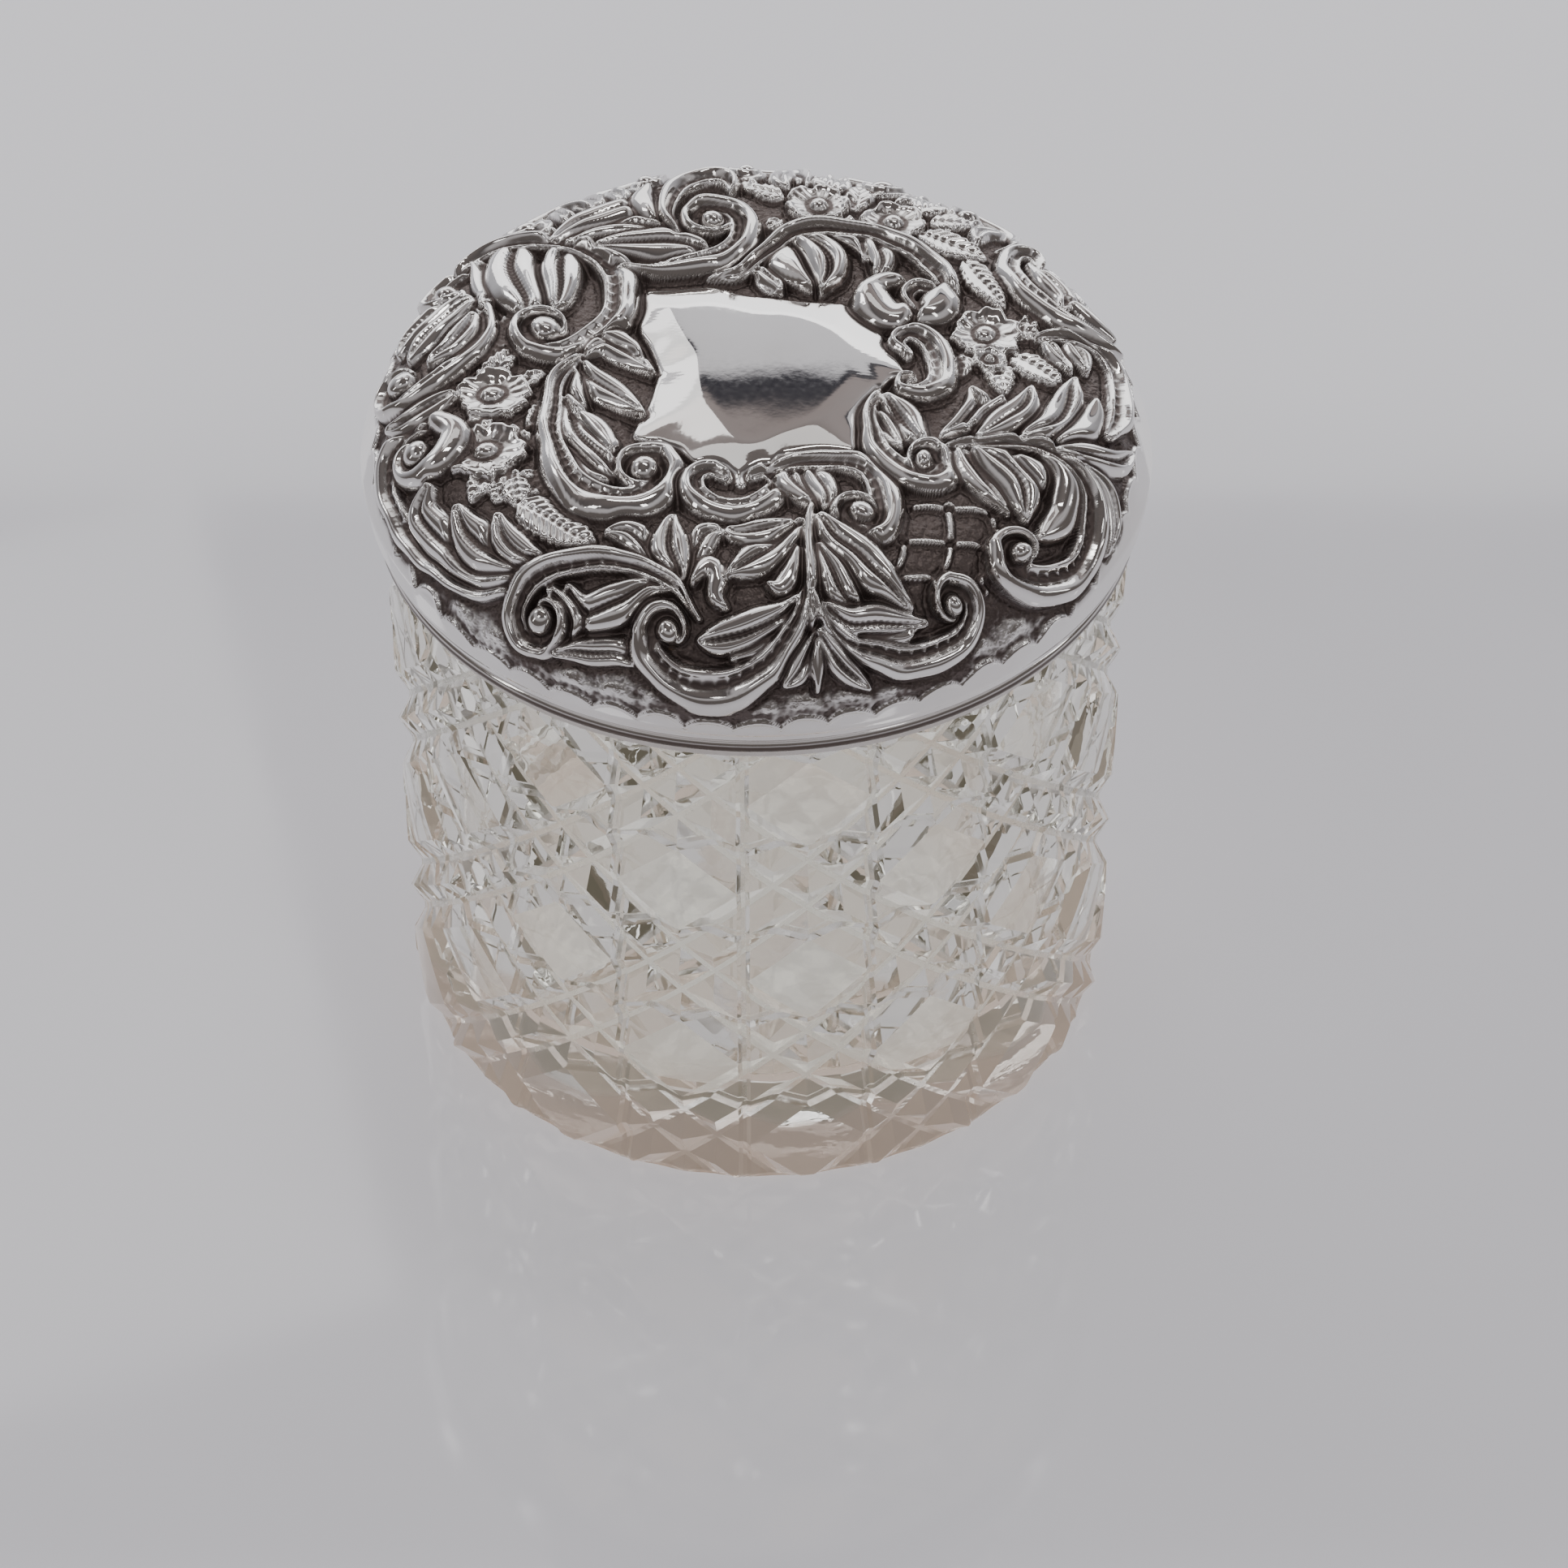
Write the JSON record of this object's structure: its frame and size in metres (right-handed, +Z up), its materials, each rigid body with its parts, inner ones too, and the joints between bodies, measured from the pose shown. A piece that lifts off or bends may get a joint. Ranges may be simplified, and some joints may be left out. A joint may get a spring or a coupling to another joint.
{
  "type": "powder jar",
  "caption": "Round cut-crystal powder jar with a silver collar and a domed pull-off silver lid, stamped with scrolls and flowers round a plain shield.",
  "frame": {"origin": "middle of the flat underside of the glass", "axes": "+Z up along the jar's axis, -Y towards the front of the lid's pattern, +X to its right"},
  "size_m": [0.082, 0.082, 0.083],
  "materials": {
    "crystal": "polished lead crystal, wheel cut",
    "plaster": "set plaster of Paris",
    "silver": "polished sterling silver",
    "gilt": "gilt silver, worn pale",
    "stamped_silver": "die-stamped silver, oxidised in the recesses"
  },
  "bodies": {
    "jar": {"glass_jar": "crystal", "collar_cement": "plaster", "collar_skirt": "silver", "collar_wire": "silver", "collar_bezel": "gilt"},
    "lid": {"lid_cover": "stamped_silver", "lid_ring": "silver", "lid_sleeve": "gilt", "lid_liner": "gilt"}
  },
  "joints": [
    {"name": "lid_lift", "type": "slide", "parent": "jar", "child": "lid", "axis": [0, 0, 1], "range_m": [0, 0.08]}
  ]
}
